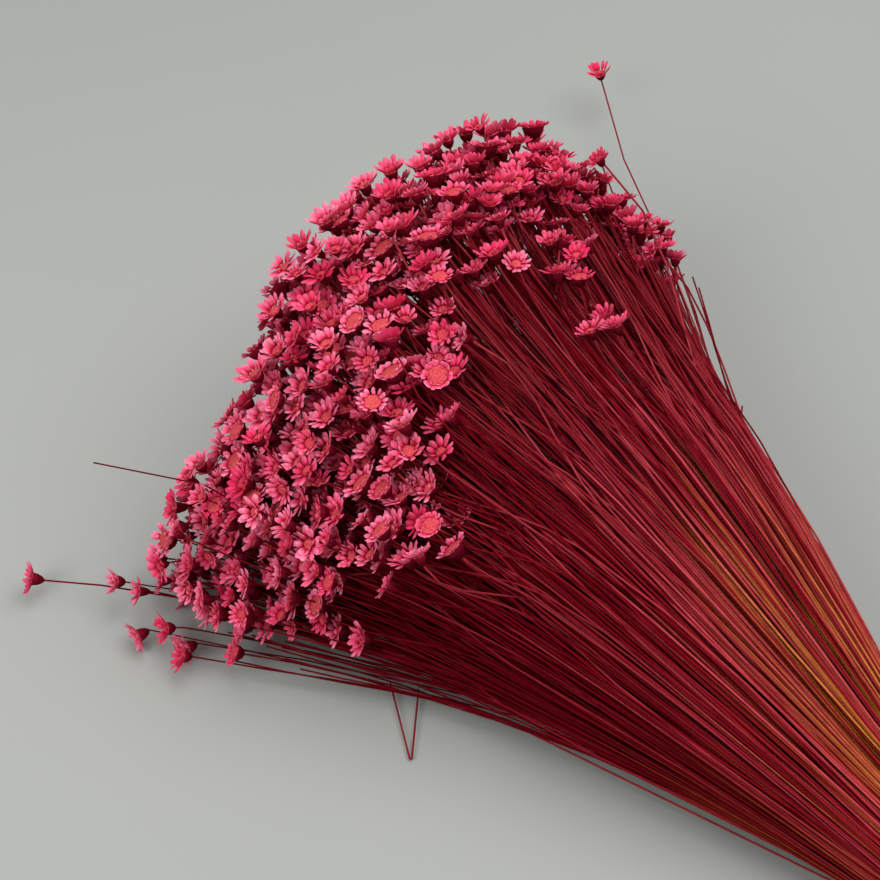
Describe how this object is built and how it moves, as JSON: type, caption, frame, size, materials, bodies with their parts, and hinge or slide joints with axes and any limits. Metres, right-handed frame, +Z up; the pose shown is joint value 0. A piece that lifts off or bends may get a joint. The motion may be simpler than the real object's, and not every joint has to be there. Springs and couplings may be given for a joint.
{
  "type": "dried glixia bunch",
  "caption": "Bunch of small star-shaped dried flower heads on thin straight stems, gathered by a band and lying on its side.",
  "frame": {"origin": "under the middle of the bunch's bounding box, on the surface that it lies on", "axes": "+X along the stems from the cut ends to the flower heads, +Y to the side where the single heads lie low beside the bunch, +Z up"},
  "size_m": [0.4342, 0.273, 0.1062],
  "materials": {
    "flowers": "dry plant stems and bracts, matt",
    "band": "matt"
  },
  "bodies": {
    "root": {"spray_01": "flowers", "spray_02": "flowers", "spray_03": "flowers", "spray_04": "flowers", "spray_05": "flowers", "spray_06": "flowers", "spray_07": "flowers", "spray_08": "flowers", "spray_09": "flowers", "spray_10": "flowers", "spray_11": "flowers", "spray_12": "flowers", "spray_13": "flowers", "spray_14": "flowers", "spray_15": "flowers", "spray_16": "flowers", "spray_17": "flowers", "spray_18": "flowers", "spray_19": "flowers", "spray_20": "flowers", "spray_21": "flowers", "spray_22": "flowers", "spray_23": "flowers", "spray_24": "flowers", "spray_25": "flowers", "spray_26": "flowers", "spray_27": "flowers", "spray_28": "flowers", "spray_29": "flowers", "spray_30": "flowers", "spray_31": "flowers", "spray_32": "flowers", "spray_33": "flowers", "spray_34": "flowers", "spray_35": "flowers", "spray_36": "flowers", "spray_37": "flowers", "spray_38": "flowers", "spray_39": "flowers", "spray_40": "flowers", "spray_41": "flowers", "spray_42": "flowers", "spray_43": "flowers", "spray_44": "flowers", "spray_45": "flowers", "spray_46": "flowers", "spray_47": "flowers", "spray_48": "flowers", "spray_49": "flowers", "spray_50": "flowers", "band": "band"}
  },
  "joints": []
}
